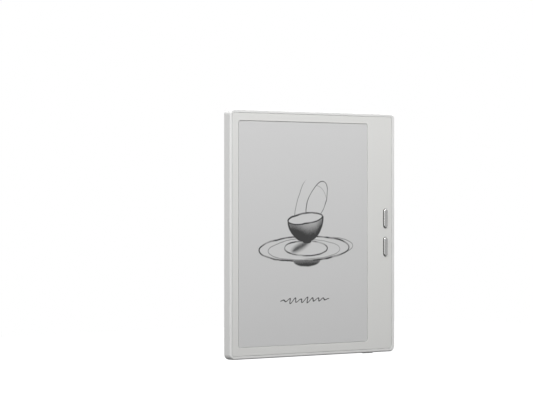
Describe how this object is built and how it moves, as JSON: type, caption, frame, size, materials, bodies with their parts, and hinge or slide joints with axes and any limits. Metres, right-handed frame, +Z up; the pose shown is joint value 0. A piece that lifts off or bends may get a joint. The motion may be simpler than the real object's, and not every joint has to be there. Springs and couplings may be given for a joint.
{
  "type": "e-reader",
  "caption": "Slim e-reader with an off-centre display, page keys in the wide margin, a power key, a card tray, a charging socket, side sound holes and a grained back.",
  "frame": {"origin": "centre of the flat back face", "axes": "+Z up the reader as its display is read upright, +Y out of the back, -Y out of the display, +X to the reader's right, the side with the page keys, card tray and charging socket"},
  "size_m": [0.137, 0.0074, 0.1565],
  "materials": {
    "frame_plastic": "satin moulded white plastic",
    "bezel_plastic": "fine matt warm white plastic",
    "back_texture": "white, fine leather grain, matt",
    "cover_plastic": "plain moulded plastic",
    "display_film": "anti-glare film, matt, over a grey ink picture",
    "light_guide": "clear",
    "eink_glass": "matt grey, opaque",
    "led_strip": "phosphor yellow on a white strip",
    "key_metal": "polished, anodised silver",
    "power_metal": "satin anodised grey",
    "key_rubber": "matt black",
    "sheet_metal": "rolled, matt",
    "stamped_steel": "stamped, plated",
    "usb_steel": "drawn, nickel plated",
    "screw_steel": "plated",
    "circuit_board": "green solder mask",
    "chip_epoxy": "matt black",
    "connector_plastic": "moulded beige",
    "flex_film": "amber film with copper traces",
    "battery_foil": "matt grey laminated pouch",
    "red_lead": "satin",
    "black_lead": "satin",
    "black_plastic": "moulded black",
    "speaker_gauze": "black woven mesh"
  },
  "bodies": {
    "reader": {"mid_frame": "frame_plastic", "front_bezel": "bezel_plastic", "back_skin_wide": "back_texture", "back_skin_strip": "back_texture", "back_cover": "cover_plastic", "touch_film": "display_film", "light_guide": "light_guide", "eink_panel": "eink_glass", "front_light_strip": "led_strip", "midplate": "sheet_metal", "processor_shield": "stamped_steel", "radio_shield": "stamped_steel", "card_socket": "stamped_steel", "page_switch_upper": "stamped_steel", "page_switch_lower": "stamped_steel", "power_switch": "stamped_steel", "usb_c_shell": "usb_steel", "frame_screw_1": "screw_steel", "frame_screw_2": "screw_steel", "frame_screw_3": "screw_steel", "frame_screw_4": "screw_steel", "board_screw_1": "screw_steel", "board_screw_2": "screw_steel", "board_screw_3": "screw_steel", "board_screw_4": "screw_steel", "main_board": "circuit_board", "page_switch_board": "circuit_board", "battery_board": "circuit_board", "memory_chip": "chip_epoxy", "power_chip": "chip_epoxy", "motion_sensor": "chip_epoxy", "display_connector": "connector_plastic", "touch_connector": "connector_plastic", "battery_plug": "connector_plastic", "display_flex": "flex_film", "touch_flex": "flex_film", "key_flex": "flex_film", "antenna": "flex_film", "battery": "battery_foil", "battery_lead": "red_lead", "antenna_lead": "black_lead", "usb_c_tongue": "black_plastic", "speaker_upper": "black_plastic", "speaker_lower": "black_plastic", "speaker_mesh_upper": "speaker_gauze", "speaker_mesh_lower": "speaker_gauze"},
    "upper_page_key": {"page_key_upper": "key_metal", "page_key_pad_upper": "key_rubber"},
    "lower_page_key": {"page_key_lower": "key_metal", "page_key_pad_lower": "key_rubber"},
    "power_button": {"power_key": "power_metal"},
    "tray": {"card_tray": "frame_plastic"}
  },
  "joints": [
    {"name": "upper_key_press", "type": "slide", "parent": "reader", "child": "upper_page_key", "axis": [0, 1, 0], "range_m": [0, 0.00025], "stiffness_N_per_m": 2400},
    {"name": "lower_key_press", "type": "slide", "parent": "reader", "child": "lower_page_key", "axis": [0, 1, 0], "range_m": [0, 0.00025], "stiffness_N_per_m": 2400},
    {"name": "power_press", "type": "slide", "parent": "reader", "child": "power_button", "axis": [0, 0, 1], "range_m": [0, 0.0003], "stiffness_N_per_m": 2400},
    {"name": "tray_slide", "type": "slide", "parent": "reader", "child": "tray", "axis": [1, 0, 0], "range_m": [0, 0.02]}
  ]
}
